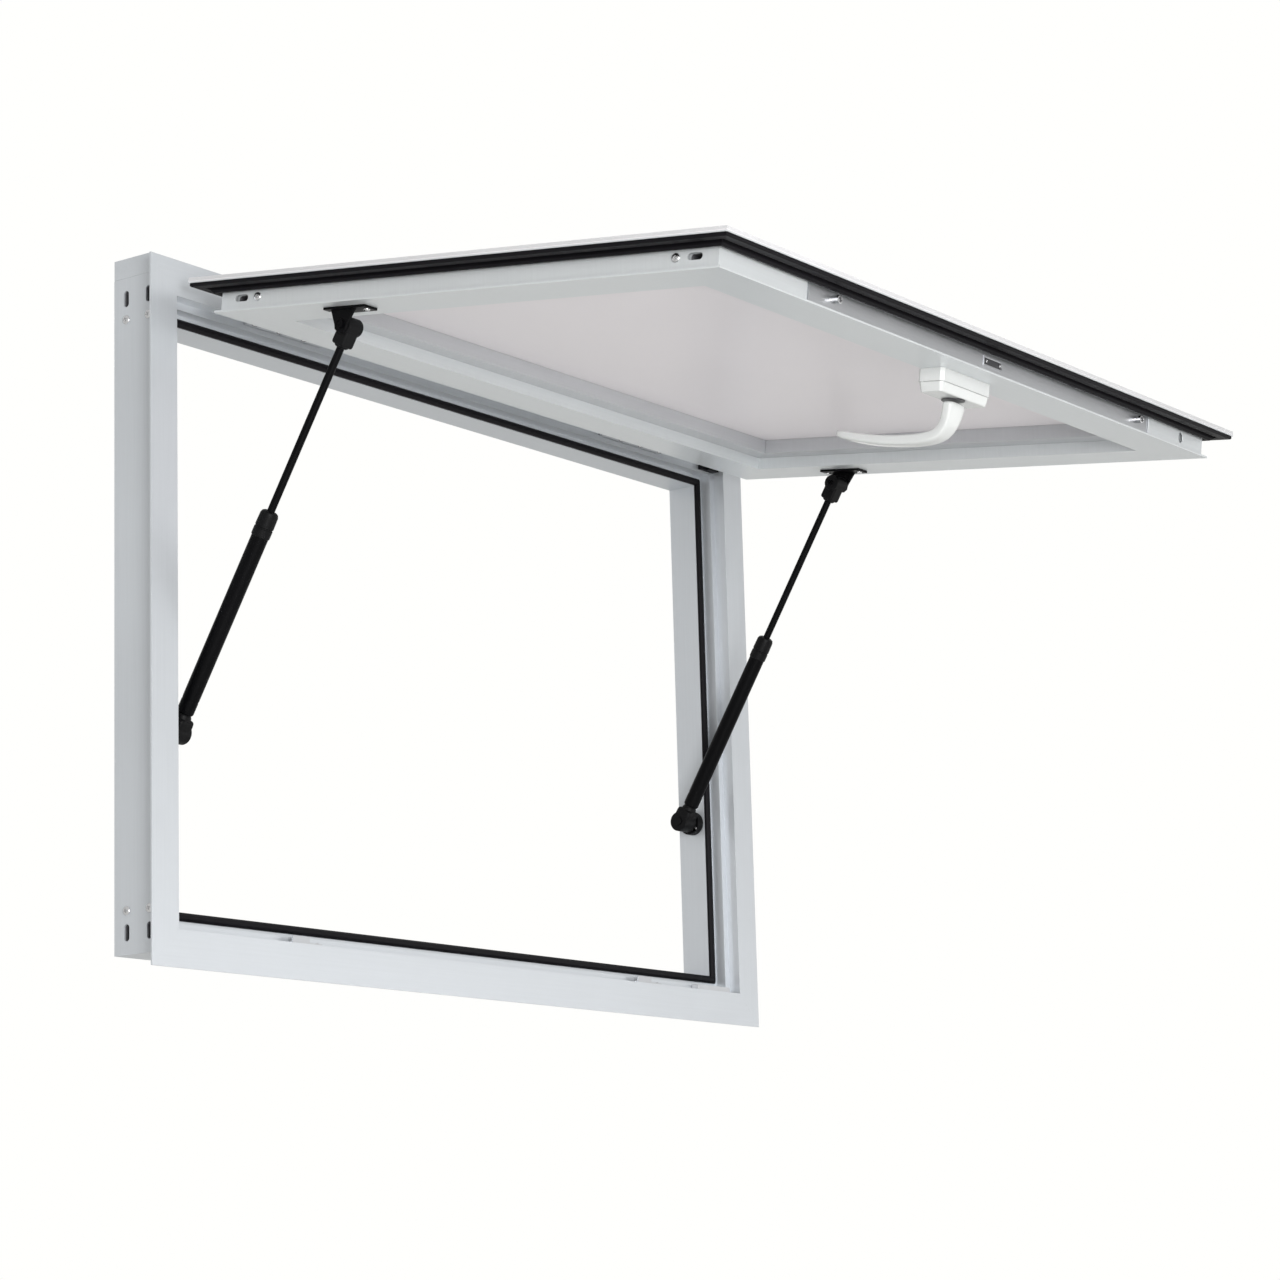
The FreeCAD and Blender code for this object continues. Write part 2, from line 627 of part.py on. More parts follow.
def sash_corners():
    keys = key_ring(*SASH_RING, f"wall_thick - flange_leg + {GAP}",
                    f"sash_depth - wall_thick - {GAP}", "sash_column",
                    f"(chamber_inset + {GAP})", "sash_key_arm", "sash_slot_at", "sash_screw_at")
    keep("sash_corner_keys", group(keys), SASH)
    screws = []
    for sign in SIDES.values():
        wall = f"({sign}*({SASH_WIDTH}/2 - sash_wall_inset))"
        for up in ("sash_screw_at", f"{SASH_HEIGHT} - sash_screw_at"):
            screws.append(screw("x", wall, -sign, "20", ("sash_column", up), "corner_head_radius"))
    keep("sash_corner_screws", group(screws), SASH)


def panel():
    """A composite panel: two thin skins on a core, drilled for the hinge leaves."""
    outline = rectangle(f"-{SASH_WIDTH}/2", f"{SASH_WIDTH}/2", "0", SASH_HEIGHT)
    holes = [(x, f"{SASH_HEIGHT} - {LEAF_SCREW_AT}", HOLE) for side in SIDES
             for x in leaf_screws(side)]
    layers = {"outer_skin": (PANEL_FRONT, f"{PANEL_FRONT} + skin_thick"),
              "panel_core": (f"{PANEL_FRONT} + skin_thick", f"{PANEL_BACK} - skin_thick"),
              "inner_skin": (f"{PANEL_BACK} - skin_thick", PANEL_BACK)}
    for label, (near, far) in layers.items():
        body = new_body(label)
        sketch = sketch_on(body, "XZ_Plane", [outline], holes, offset=f"-({near})")
        pad(body, sketch, f"({far}) - ({near})", middle=False, backwards=True)
        keep(label, body, SASH)


def beads():
    """Glazing beads between the rails and the visible panel."""
    ledge = "(bead_depth - bead_wall)"
    inner = "(bead_inset - bead_wall)"
    section = [("bead_depth", "rail_inset"), ("bead_depth", "bead_inset"),
               (PANEL_BACK, "bead_inset"), (PANEL_BACK, inner), (ledge, inner),
               (ledge, "rail_inset")]
    for side, label in (("top", "hinge"), ("bottom", "free"), ("left", "left"),
                        ("right", "right")):
        body = mitred_strip("bead_" + label, section, [], side, *SASH_RING)
        keep("bead_" + label, body, SASH.multiply(ring_place(side, *SASH_RING)))


def edge_gaskets():
    """The seal behind the sash flange: a flat strip, a web and a taller bulb by the rail."""
    crest = f"(sash_gap - {GAP})"
    section = [("0", "1"), (f"{crest} - 0.8", "1"), (crest, "2"), (crest, "12"),
               (f"{crest} - 0.8", "13"), ("1.6", "13"), ("1.6", "16.5"), ("5.5", "16.5"),
               ("7.5", "18.5"), ("7.5", "21.5"), ("5.5", "24"), ("0", "24")]
    for side, label in (("top", "hinge"), ("bottom", "free"), ("left", "left"),
                        ("right", "right")):
        body = mitred_strip("edge_gasket_" + label, section, [], side, *SASH_RING)
        if label == "hinge":
            notches = [rectangle(f"{sign}*hinge_across - hinge_length/2 - 2",
                                 f"{sign}*hinge_across + hinge_length/2 + 2", "0", "14")
                       for sign in (1, -1)]
            pocket(body, sketch_on(body, "XZ_Plane", notches))
        keep("edge_gasket_" + label, body, SASH.multiply(ring_place(side, *SASH_RING)))


def hinge_leaves():
    """Leaves on the outer skin, each with the middle knuckle of its hinge."""
    back = (f"{PANEL_FRONT} - leaf_thick", PANEL_FRONT)
    axis = (PIVOT_Y, PIVOT_Z)
    for side, sign in SIDES.items():
        middle = f"({sign}*hinge_across)"
        knuckle = (f"{middle} - knuckle_length/2", f"{middle} + knuckle_length/2")
        leaf = block((f"{middle} - hinge_length/2", f"{middle} + hinge_length/2"), back,
                     (f"{SASH_HEIGHT} - leaf_length", SASH_HEIGHT))
        neck = block(knuckle, (f"{back[0]} - 2", PANEL_FRONT), (SASH_HEIGHT, PIVOT_Z))
        barrel = rod("x", *knuckle, "barrel_radius", axis)
        bore = rod("x", f"{knuckle[0]} - 1", f"{knuckle[1]} + 1",
                   f"hinge_pin_radius + {RUNNING}", axis)
        holes = [rod("y", f"{back[0]} - 1", f"{back[1]} + 1", HOLE,
                     (x, f"{SASH_HEIGHT} - {LEAF_SCREW_AT}")) for x in leaf_screws(side)]
        keep("hinge_leaf_" + side, cut(fuse(leaf, neck, barrel), bore, *holes), SASH)


BRACKET_Z = f"({SASH_HEIGHT} - bracket_from_hinge)"
TAB_INNER = f"(strut_across + eye_width/2 + {GAP})"


def strut_brackets():
    """Plates on the side rails, each with a tapering tab outboard of the strut's eye."""
    base = "(sash_depth + 2.5)"
    for side in SIDES:
        plate = block(mirrored(side, *BRACKET_X), ("sash_depth", base),
                      (f"{BRACKET_Z} - 32", f"{BRACKET_Z} + 22"))
        body = new_body("tab")
        outline = [(base, f"{BRACKET_Z} - 17"), ("bracket_depth", f"{BRACKET_Z} - 8"),
                   ("bracket_depth + 5", f"{BRACKET_Z} - 7"),
                   ("bracket_depth + 8", f"{BRACKET_Z} - 3"),
                   ("bracket_depth + 8", f"{BRACKET_Z} + 3"),
                   ("bracket_depth + 5", f"{BRACKET_Z} + 7"),
                   ("bracket_depth", f"{BRACKET_Z} + 8"), (base, f"{BRACKET_Z} + 14")]
        start = mirrored(side, TAB_INNER, f"{TAB_INNER} + tab_thick")[0]
        pad(body, sketch_on(body, "YZ_Plane", [outline], offset=start), "tab_thick", middle=False)
        bore = rod("x", f"{start} - 1", f"{start} + tab_thick + 1", f"bolt_radius + {SNUG}",
                   ("bracket_depth", BRACKET_Z))
        holes = [rod("y", "sash_depth - 1", f"{base} + 1", HOLE,
                     (f"{SIDES[side]}*{BRACKET_SCREW_X}", up)) for up in bracket_screws()]
        keep("strut_bracket_" + side, cut(fuse(plate, body), bore, *holes), SASH)


def sash_hardware_screws():
    """Screws of the hinge leaves and strut brackets, and the bolts through the struts' eyes."""
    items = []
    front = f"({PANEL_FRONT} - leaf_thick)"
    inner = "(strut_across - eye_width/2)"
    outer = f"({TAB_INNER} + tab_thick)"
    axis = ("bracket_depth", BRACKET_Z)
    for side, sign in SIDES.items():
        for x in leaf_screws(side):
            items.append(screw("y", front, 1, "14", (x, f"{SASH_HEIGHT} - {LEAF_SCREW_AT}")))
        for up in bracket_screws():
            items.append(screw("y", "(sash_depth + 2.5)", -1, "9",
                               (f"{sign}*{BRACKET_SCREW_X}", up)))
        items.append(fuse(rod("x", *mirrored(side, f"{inner} - 0.6", outer), "bolt_radius", axis),
                          rod("x", *mirrored(side, outer, f"{outer} + 2.6"), "bolt_radius + 2", axis),
                          rod("x", *mirrored(side, f"{inner} - 2.4", f"{inner} - {GAP}"),
                              "bolt_radius + 1.6", axis)))
    keep("sash_hardware_screws", group(items), SASH)


# ---- handle and lock ---------------------------------------------------------------------------

def rosette():
    """The handle's two-part housing on the free rail."""
    centre = ("handle_across", SPINDLE_Z)
    levels = {"handle_base": ("sash_depth", "rosette_base", 0, 1),
              "handle_cover": ("(sash_depth + rosette_base)", "rosette_cover", 12, 0.985)}
    for label, (start, height, taper, scale) in levels.items():
        body = new_body(label)
        outline = octagon(*centre, f"{scale}*rosette_length", f"{scale}*rosette_width", "3.5")
        feature = pad(body, sketch_on(body, "XZ_Plane", [outline], offset=f"-({start})"), height,
                      middle=False, backwards=True)
        if taper:
            feature.TaperAngle = -taper
            doc.recompute()
        bore = [(*centre, f"spindle_radius + {RUNNING}")]
        pocket(body, sketch_on(body, "XZ_Plane", circles=bore))
        keep(label, body, SASH)


COVER_TOP = "(sash_depth + rosette_base + rosette_cover)"
NECK_START = f"({COVER_TOP} + 1.2)"
# Stations of the lever: distance from the spindle towards the hinge, height above the rail's
# face, heading (0 runs along the rail's face, -90 stands up from it), and the section's width and
# thickness as shares of the grip's.
LEVER = [(-1.5, None, -90, 1.5, 1.1), (0, 38, -86, 1.4, 1.07), (2.5, 48, -80, 1.24, 1.05),
         (8, 57.5, -48, 1.12, 1.02), (20, 62.4, -14, 1.04, 1), (62, 64.3, 2, 1, 0.96),
         (104, 60, 8, 0.96, 0.9), (130, 54.6, 14, 0.8, 0.78), (138.5, 52.4, 15, 0.5, 0.42)]


def handle():
    """The lever, and the spindle with the crank that moves the lock bar."""
    sections = []
    for along, height, heading, width, thick in LEVER:
        sketch = doc.addObject("Sketcher::SketchObject", "station")
        draw(sketch, [octagon("0", "0", f"{width}*grip_width", f"{thick}*grip_thick",
                              f"{0.27*thick}*grip_thick")])
        sketch.Placement.Rotation = FreeCAD.Rotation(FreeCAD.Vector(1, 0, 0), heading)
        bind(sketch, "Placement.Base.x", "handle_across")
        bind(sketch, "Placement.Base.y", NECK_START if height is None else f"sash_depth + {height}")
        bind(sketch, "Placement.Base.z", f"{SPINDLE_Z} + {along}")
        sections.append(sketch)
    lever = doc.addObject("Part::Loft", "lever")
    lever.Sections = sections
    lever.Solid = True
    keep("handle_grip", group([lever]), SASH)

    centre = ("handle_across", SPINDLE_Z)
    shaft = rod("y", CRANK_LOW, NECK_START, "spindle_radius", centre)
    collar = rod("y", f"{COVER_TOP} + {GAP}", NECK_START, "12.5", centre)
    hub = rod("y", CRANK_LOW, CRANK_HIGH, "7", centre)
    arm = rod("y", CRANK_LOW, CRANK_HIGH, "4",
              (f"{FORK_ACROSS}", f"{SPINDLE_Z} - sqrt(crank_radius*crank_radius - throw*throw/4)"))
    body = new_body("web")
    drop = f"({SPINDLE_Z} - sqrt(crank_radius*crank_radius - throw*throw/4))"
    outline = [(f"{FORK_ACROSS} - 2.8", f"{drop} - 2.8"), (f"{FORK_ACROSS} + 2.8", f"{drop} + 2.8"),
               ("handle_across + 4", f"{SPINDLE_Z} + 4"), ("handle_across - 4", f"{SPINDLE_Z} - 4")]
    sketch = sketch_on(body, "XZ_Plane", [outline], offset=f"-{CRANK_LOW}")
    pad(body, sketch, f"{CRANK_HIGH} - {CRANK_LOW}", middle=False, backwards=True)
    finger = rod("y", f"{TONGUE_LOW} + {GAP}", CRANK_LOW, "2.5", (FORK_ACROSS, drop))
    keep("handle_spindle", fuse(shaft, collar, hub, arm, body, finger), SASH)


def lock():
    """The sliding bar behind the window of the free rail, its pins and its fork plate."""
    inner, outer = f"(channel_floor - {GAP})", f"(channel_inset + {GAP})"
    bar = block(("-bar_left", "bar_right"), (f"channel_low + {GAP}", f"channel_high - {GAP}"),
                (outer, inner))
    tongue = block((f"{FORK_ACROSS} - {TONGUE_HALF}", f"{FORK_ACROSS} + {TONGUE_HALF}"),
                   (TONGUE_LOW, TONGUE_HIGH), (inner, f"{SPINDLE_Z} - 3"))
    slot = block((f"{FORK_ACROSS} - 3.1", f"{FORK_ACROSS} + 3.1"),
                 (f"{TONGUE_LOW} - 1", f"{TONGUE_HIGH} + 1"),
                 (f"{SPINDLE_Z} - crank_radius - 4", f"{SPINDLE_Z} + 1"))
    keep("lock_bar", cut(fuse(bar, tongue), slot), SASH)
    middle = "((channel_low + channel_high)/2)"
    plate = block((f"{FORK_ACROSS} - 20", f"{FORK_ACROSS} + 16"), (f"{middle} - 5", f"{middle} + 5"),
                  (f"{outer} - 0.8", outer))
    keep("fork_plate", plate, SASH)
    pins = [rod("z", "sash_wall_inset - pin_reach", outer, "pin_radius", (x, "pin_column"))
            for x in lock_pins_across()]
    for step in (-15, 11):
        pins.append(rod("z", f"{outer} - 1.4", f"{outer} - 0.8", "1.7",
                        (f"{FORK_ACROSS} + {step}", middle)))
    keep("lock_pins", group(pins), SASH)


# ---- struts ------------------------------------------------------------------------------------

def strut_place():
    """Strut space has the upper pivot at its origin and the lower pivot straight below it."""
    upper = SASH.multVec(point("0", "bracket_depth", BRACKET_Z))
    lower = FRAME.multVec(point("0", "foot_depth", "foot_height"))
    along = upper - lower
    lean = math.degrees(math.atan2(-along.y, along.z))
    placement = FreeCAD.Placement(upper, FreeCAD.Rotation(FreeCAD.Vector(1, 0, 0), lean))
    return placement, along.Length


def struts():
    """Two gas struts: eye and rod on the sash's bracket, tube, gland and foot at the jamb."""
    placement, length = strut_place()
    foot_top = f"({foot_reach_from(length)})"
    gland_low = "(-rod_exposed - gland_length)"
    gland_step = "(-rod_exposed - gland_length/2)"
    for side, sign in SIDES.items():
        middle = f"({sign}*strut_across)"
        faces = (f"{middle} - eye_width/2", f"{middle} + eye_width/2")
        axis = (middle, "0")

        eye = fuse(rod("x", *faces, "eye_radius", ("0", "0")),
                   block((f"{middle} - eye_width/2 + 2", f"{middle} + eye_width/2 - 2"),
                         ("-eye_radius", "eye_radius"), ("-eye_reach", "0")))
        socket = rod("z", "-eye_reach - 1", "-eye_reach + 8", f"rod_radius + {SNUG}", axis)
        bore = rod("x", f"{faces[0]} - 1", f"{faces[1]} + 1", f"bolt_radius + {RUNNING}", ("0", "0"))
        keep("strut_eye_" + side, cut(eye, socket, bore), placement)

        shaft = rod("z", "-rod_length", "-eye_reach + 8", "rod_radius", axis)
        piston = rod("z", "-rod_length", "-rod_length + 6", f"tube_bore - {RUNNING}", axis)
        keep("strut_rod_" + side, fuse(shaft, piston), placement)

        tube = rod("z", foot_top, gland_step, "tube_radius", axis)
        hollow = rod("z", f"{foot_top} - 1", f"{gland_step} + 1", "tube_bore", axis)
        keep("strut_tube_" + side, cut(tube, hollow), placement)

        cap = rod("z", gland_low, "-rod_exposed", "gland_radius", axis)
        seal = rod("z", f"{gland_low} - 1", "-rod_exposed + 1", f"rod_radius + {RUNNING}", axis)
        sleeve = rod("z", f"{gland_low} - 1", gland_step, f"tube_radius + {SNUG}", axis)
        keep("strut_gland_" + side, cut(cap, seal, sleeve), placement)

        pivot = f"({foot_top} - foot_reach)"
        stud = mirrored(side, f"strut_across + eye_width/2", f"{MOUNT_FACE} - {GAP}")
        foot = fuse(rod("x", *faces, "foot_radius", ("0", pivot)),
                    block((f"{middle} - eye_width/2 + 2", f"{middle} + eye_width/2 - 2"),
                          ("-foot_radius + 1", "foot_radius - 1"), (pivot, foot_top)),
                    rod("z", foot_top, f"{foot_top} + 6", f"tube_bore - {SNUG}", axis),
                    rod("x", *stud, "5", ("0", pivot)),
                    rod("x", *mirrored(side, "strut_across - eye_width/2 - 1.5",
                                       "strut_across - eye_width/2"), "5.5", ("0", pivot)))
        keep("strut_foot_" + side, foot, placement)


def foot_reach_from(length):
    """The top of the foot in strut space, from the distance between the two pivots."""
    return f"foot_reach - {length:.6f}"


# ---- build, check and write --------------------------------------------------------------------

make_frame()
head_spacer()
frame_corners()
stop_gaskets()
keepers()
corner_blocks()
strut_mounts()
hinge_straps()
frame_hardware_screws()
make_sash_rails()
sash_corners()
panel()
beads()
edge_gaskets()
hinge_leaves()
strut_brackets()
sash_hardware_screws()
rosette()
handle()
lock()
struts()

doc.recompute()
faulty = [item.Name for item in doc.Objects if {"Invalid", "Error"} & set(item.State)]
if faulty:
    raise RuntimeError("objects with errors: " + ", ".join(faulty))

os.makedirs("parts", exist_ok=True)
for label, thing in nodes.items():
    shape = thing.Shape
    if shape.isNull() or not shape.isValid() or not shape.Solids:
        raise RuntimeError(f"{label} has no valid solid")
    shape.exportStep(f"parts/{label}.step")
    box = shape.BoundBox
    print(f"{label:24s} solids {len(shape.Solids):2d}  volume {shape.Volume:11.1f}  "
          f"x {box.XMin:8.1f} {box.XMax:8.1f}  y {box.YMin:8.1f} {box.YMax:8.1f}  "
          f"z {box.ZMin:8.1f} {box.ZMax:8.1f}")
print(len(nodes), "nodes")
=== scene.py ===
"""The visual model of a top-hung serving window, held open by two gas struts.

Every piece stands for one CAD node and is built from it or in its place: extrusions,
pressings and seals get softened edges, the lever, struts and screws are modelled anew.
"""
import json
import math

import bmesh
import bpy
from mathutils import Matrix, Vector


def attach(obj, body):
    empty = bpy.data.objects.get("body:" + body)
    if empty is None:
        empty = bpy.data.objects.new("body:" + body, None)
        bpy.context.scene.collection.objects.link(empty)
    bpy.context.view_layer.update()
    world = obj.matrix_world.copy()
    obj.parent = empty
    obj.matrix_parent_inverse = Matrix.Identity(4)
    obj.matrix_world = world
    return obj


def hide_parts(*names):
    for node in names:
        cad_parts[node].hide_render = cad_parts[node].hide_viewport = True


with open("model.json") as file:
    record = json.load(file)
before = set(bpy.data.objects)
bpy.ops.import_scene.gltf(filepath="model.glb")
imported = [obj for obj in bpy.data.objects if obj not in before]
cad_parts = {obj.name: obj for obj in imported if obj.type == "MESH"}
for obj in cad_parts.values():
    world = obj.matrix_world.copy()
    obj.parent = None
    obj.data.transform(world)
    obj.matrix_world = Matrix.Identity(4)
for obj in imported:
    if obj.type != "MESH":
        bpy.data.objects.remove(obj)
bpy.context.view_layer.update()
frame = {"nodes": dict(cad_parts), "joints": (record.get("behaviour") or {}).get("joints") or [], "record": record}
NODES = frame["nodes"]
JOINTS = {joint["name"]: joint for joint in frame["joints"]}
BODY_OF = {node: body for body, members in frame["record"]["behaviour"]["bodies"].items()
           for node in members}
MM = 0.001
WELD = 2e-6                            # metres: vertices closer than this are one
FLAT_WITHIN = math.radians(0.8)        # facets that turn less than this are one face
SMOOTH_BELOW = math.radians(38)        # edges that turn less than this are shaded smooth
ROUNDED_ABOVE = math.radians(28)       # CAD edges that turn more than this are rounded

# Sash space, in millimetres: X across, Y inwards from the back of the sash flange, Z up from the
# free edge of the closed sash. The hinge axis lies at this place in it.
OPEN_ANGLE = math.radians(JOINTS["sash_hinge"]["range_deg"][1])
HINGE = Vector(JOINTS["sash_hinge"]["pos_m"])
HINGE_IN_SASH = Vector((0, -13, 679))
SASH_FACE = 27.5                       # the rails' inner face
SPINDLE = (10, 66)                     # the handle's axis, across and up
SASH_SPACE = (Matrix.Translation(HINGE) @ Matrix.Rotation(-OPEN_ANGLE, 4, "X")
              @ Matrix.Scale(MM, 4) @ Matrix.Translation(-HINGE_IN_SASH))


# ---- materials ---------------------------------------------------------------------------------

def new_material(name):
    """An empty node material, with its shader and its object coordinates."""
    material = bpy.data.materials.new(name)
    material.use_nodes = True
    nodes, links = material.node_tree.nodes, material.node_tree.links
    coordinates = nodes.new("ShaderNodeTexCoord")
    return material, nodes, links, nodes["Principled BSDF"], coordinates.outputs["Object"]


def noise(nodes, links, vector, scale, stretch=(1, 1, 1), tilt=0.0):
    """A noise texture, drawn out along an axis and turned with the sash where it lies on it."""
    mapping = nodes.new("ShaderNodeMapping")
    mapping.inputs["Rotation"].default_value = (tilt, 0, 0)
    mapping.inputs["Scale"].default_value = stretch
    texture = nodes.new("ShaderNodeTexNoise")
    texture.inputs["Scale"].default_value = scale
    texture.inputs["Detail"].default_value = 4.0
    links.new(vector, mapping.inputs["Vector"])
    links.new(mapping.outputs["Vector"], texture.inputs["Vector"])
    return texture.outputs["Fac"]


def between(nodes, links, factor, low, high):
    """A value that runs from low to high as a noise goes from its darkest to its brightest."""
    spread = nodes.new("ShaderNodeMapRange")
    spread.inputs["From Min"].default_value = 0.3
    spread.inputs["From Max"].default_value = 0.7
    spread.inputs["To Min"].default_value = low
    spread.inputs["To Max"].default_value = high
    links.new(factor, spread.inputs["Value"])
    return spread.outputs["Result"]


def tint(nodes, links, factor, dark, light):
    """A colour that runs from dark to light with a noise."""
    ramp = nodes.new("ShaderNodeValToRGB")
    ramp.color_ramp.elements[0].position = 0.32
    ramp.color_ramp.elements[1].position = 0.68
    ramp.color_ramp.elements[0].color = (*dark, 1)
    ramp.color_ramp.elements[1].color = (*light, 1)
    links.new(factor, ramp.inputs["Fac"])
    return ramp.outputs["Color"]


def roughen(nodes, links, shader, height, depth):
    """Relief of a depth in metres, raised by a noise."""
    bump = nodes.new("ShaderNodeBump")
    bump.inputs["Distance"].default_value = depth
    bump.inputs["Strength"].default_value = 0.4
    links.new(height, bump.inputs["Height"])
    links.new(bump.outputs["Normal"], shader.inputs["Normal"])


CLOUD_SCALE = 7.0              # clouds per metre
GLOSS_SPREAD = 0.14            # how far roughness strays, as a share of itself


def surface(name, colour, rough, metallic=0.0, vary=0.06, grain=600, relief=0.00002,
            stretch=(1, 1, 1), tilt=0.0, coat=0.0, specular=0.5):
    """A finish with cloudy colour, uneven gloss, and a fine grain in relief."""
    material, nodes, links, shader, place = new_material(name)
    cloud = noise(nodes, links, place, CLOUD_SCALE)
    fine = noise(nodes, links, place, grain, stretch, tilt)
    dark = tuple(channel * (1 - vary) for channel in colour)
    light = tuple(min(1.0, channel * (1 + vary)) for channel in colour)
    mixed = nodes.new("ShaderNodeMix")
    mixed.inputs["Factor"].default_value = 0.45
    links.new(cloud, mixed.inputs["A"])
    links.new(fine, mixed.inputs["B"])
    both = mixed.outputs["Result"]
    links.new(tint(nodes, links, both, dark, light), shader.inputs["Base Color"])
    gloss = between(nodes, links, both, rough * (1 - GLOSS_SPREAD), rough * (1 + GLOSS_SPREAD))
    links.new(gloss, shader.inputs["Roughness"])
    roughen(nodes, links, shader, fine, relief)
    shader.inputs["Metallic"].default_value = metallic
    shader.inputs["Coat Weight"].default_value = coat
    shader.inputs["Coat Roughness"].default_value = 0.12
    shader.inputs["Specular IOR Level"].default_value = specular
    return material


def anodised(name, colour, along, tilt=0.0):
    """Satin anodised aluminium with the die lines that run along an extrusion."""
    stretch = {"x": (0.02, 1, 1), "z": (1, 1, 0.02)}[along]
    return surface(name, colour, 0.36, metallic=0.45, vary=0.035, grain=420, relief=0.00003,
                   stretch=stretch, tilt=tilt)


SILVER = (0.575, 0.60, 0.63)
# The sash's aluminium is a lighter copy of the frame's: painted light that lifts its shadowed rails and walls.
SASH_PAINTED_LIGHT_SILVER = (0.665, 0.69, 0.705)
# The beads' aluminium is a darker copy of the sash's: painted shade for their recessed inner walls.
BEAD_PAINTED_SHADE_SILVER = (0.50, 0.51, 0.53)
MATERIALS = {
    "level": anodised("anodised_level", SILVER, "x"),
    "upright": anodised("anodised_upright", SILVER, "z"),
    "sash_level": anodised("anodised_sash_level", SASH_PAINTED_LIGHT_SILVER, "x"),
    "sash_side": anodised("anodised_sash_side", SASH_PAINTED_LIGHT_SILVER, "z", tilt=OPEN_ANGLE),
    "bead_level": anodised("anodised_bead_level", BEAD_PAINTED_SHADE_SILVER, "x"),
    "bead_side": anodised("anodised_bead_side", BEAD_PAINTED_SHADE_SILVER, "z", tilt=OPEN_ANGLE),
    "panel": surface("panel_paint", (0.775, 0.74, 0.765), 0.42, vary=0.02, grain=900,
                     relief=0.00001, coat=0.1),
    # The outer skin is a darker copy of the panel paint: painted shade that tones down its brightly lit edge.
    "skin": surface("outer_paint", (0.62, 0.62, 0.63), 0.4, vary=0.02, grain=900, relief=0.00001),
    "core": surface("panel_core", (0.56, 0.56, 0.57), 0.6, vary=0.06, grain=900),
    # The corner keys' cast metal is darkened further as painted shade, so the frame's slots into their chambers
    # look black.
    "cast": surface("cast_keys", (0.16, 0.16, 0.17), 0.5, metallic=0.4, vary=0.12, grain=700,
                    relief=0.00008),
    "bright": surface("bright_steel", (0.70, 0.70, 0.71), 0.22, metallic=1.0, vary=0.05, grain=1200),
    "satin": surface("satin_steel", (0.52, 0.53, 0.55), 0.34, metallic=0.85, vary=0.06,
                     grain=800, stretch=(0.05, 1, 1)),
    "rubber": surface("seal_rubber", (0.004, 0.0035, 0.005), 0.5, vary=0.3, grain=1500,
                      relief=0.00006, specular=0.12),
    "black": surface("strut_enamel", (0.0025, 0.0025, 0.003), 0.36, vary=0.3, grain=1600,
                     relief=0.00002, specular=0.06),
    "moulded": surface("strut_moulding", (0.0035, 0.0035, 0.004), 0.48, vary=0.25, grain=1400,
                       relief=0.00008, specular=0.12),
    "white": surface("handle_enamel", (0.60, 0.612, 0.608), 0.24, vary=0.02, grain=300,
                     relief=0.00001, coat=0.3),
    # The spindle's own dark steel; where it lines the fork plate's recess, it is painted shade.
    "dark": surface("fork_plate", (0.05, 0.05, 0.055), 0.4, metallic=0.3, vary=0.2, grain=1300),
    "clear": surface("corner_plastic", (0.50, 0.51, 0.53), 0.3, vary=0.06, grain=900, coat=0.2),
}


# ---- pieces ------------------------------------------------------------------------------------

def add_piece(mesh, node, material, name=None):
    """Puts a mesh in the scene in a CAD node's place, riding on that node's body."""
    piece = bpy.data.objects.new(name or node + "_piece", mesh)
    bpy.context.scene.collection.objects.link(piece)
    mesh.materials.clear()
    mesh.materials.append(material)
    mesh.polygons.foreach_set("use_smooth", [True] * len(mesh.polygons))
    mesh.set_sharp_from_angle(angle=SMOOTH_BELOW)
    weigh = piece.modifiers.new("even_normals", "WEIGHTED_NORMAL")
    weigh.keep_sharp = True
    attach(piece, BODY_OF[node])
    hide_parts(node)
    return piece


def welded(node):
    """The node's mesh as clean faces, with one vertex where its facets meet."""
    shell = bmesh.new()
    shell.from_mesh(NODES[node].data)
    bmesh.ops.remove_doubles(shell, verts=shell.verts, dist=WELD)
    bmesh.ops.dissolve_limit(shell, angle_limit=FLAT_WITHIN, verts=shell.verts,
                             edges=shell.edges)
    return shell


def finished(shell, name):
    """The shell as a mesh of that name."""
    shell.normal_update()
    mesh = bpy.data.meshes.new(name)
    shell.to_mesh(mesh)
    shell.free()
    return mesh


def softened(node, material, edge, segments=2):
    """A CAD node with its sharp edges rounded, as a die, press or mould leaves them."""
    shell = welded(node)
    sharp = [item for item in shell.edges
             if len(item.link_faces) == 2 and item.calc_face_angle(0) > ROUNDED_ABOVE]
    bmesh.ops.bevel(shell, geom=sharp, offset=edge * MM, offset_type="OFFSET", segments=segments,
                    profile=0.5, affect="EDGES", clamp_overlap=True)
    return add_piece(finished(shell, node), node, material)


def lathe(profile, place, sides=40):
    """A turned shape: (distance along Z, radius) points swept round Z, capped at both ends."""
    shell = bmesh.new()
    rings = []
    for height, radius in profile:
        ring = []
        for step in range(sides):
            turn = 2 * math.pi * step / sides
            spot = Vector((radius * math.cos(turn), radius * math.sin(turn), height))
            ring.append(shell.verts.new(place @ spot))
        rings.append(ring)
    join_rings(shell, rings)
    return shell


def join_rings(shell, rings):
    """Skins rings of as many vertices each, and closes both ends."""
    count = len(rings[0])
    for near, far in zip(rings, rings[1:]):
        for step in range(count):
            after = (step + 1) % count
            shell.faces.new((near[step], near[after], far[after], far[step]))
    shell.faces.new(reversed(rings[0]))
    shell.faces.new(rings[-1])


def merged(shells):
    """Several shells as one."""
    whole = bmesh.new()
    for shell in shells:
        part = bpy.data.meshes.new("part")
        shell.to_mesh(part)
        shell.free()
        whole.from_mesh(part)
        bpy.data.meshes.remove(part)
    bmesh.ops.recalc_face_normals(whole, faces=whole.faces)
    return whole


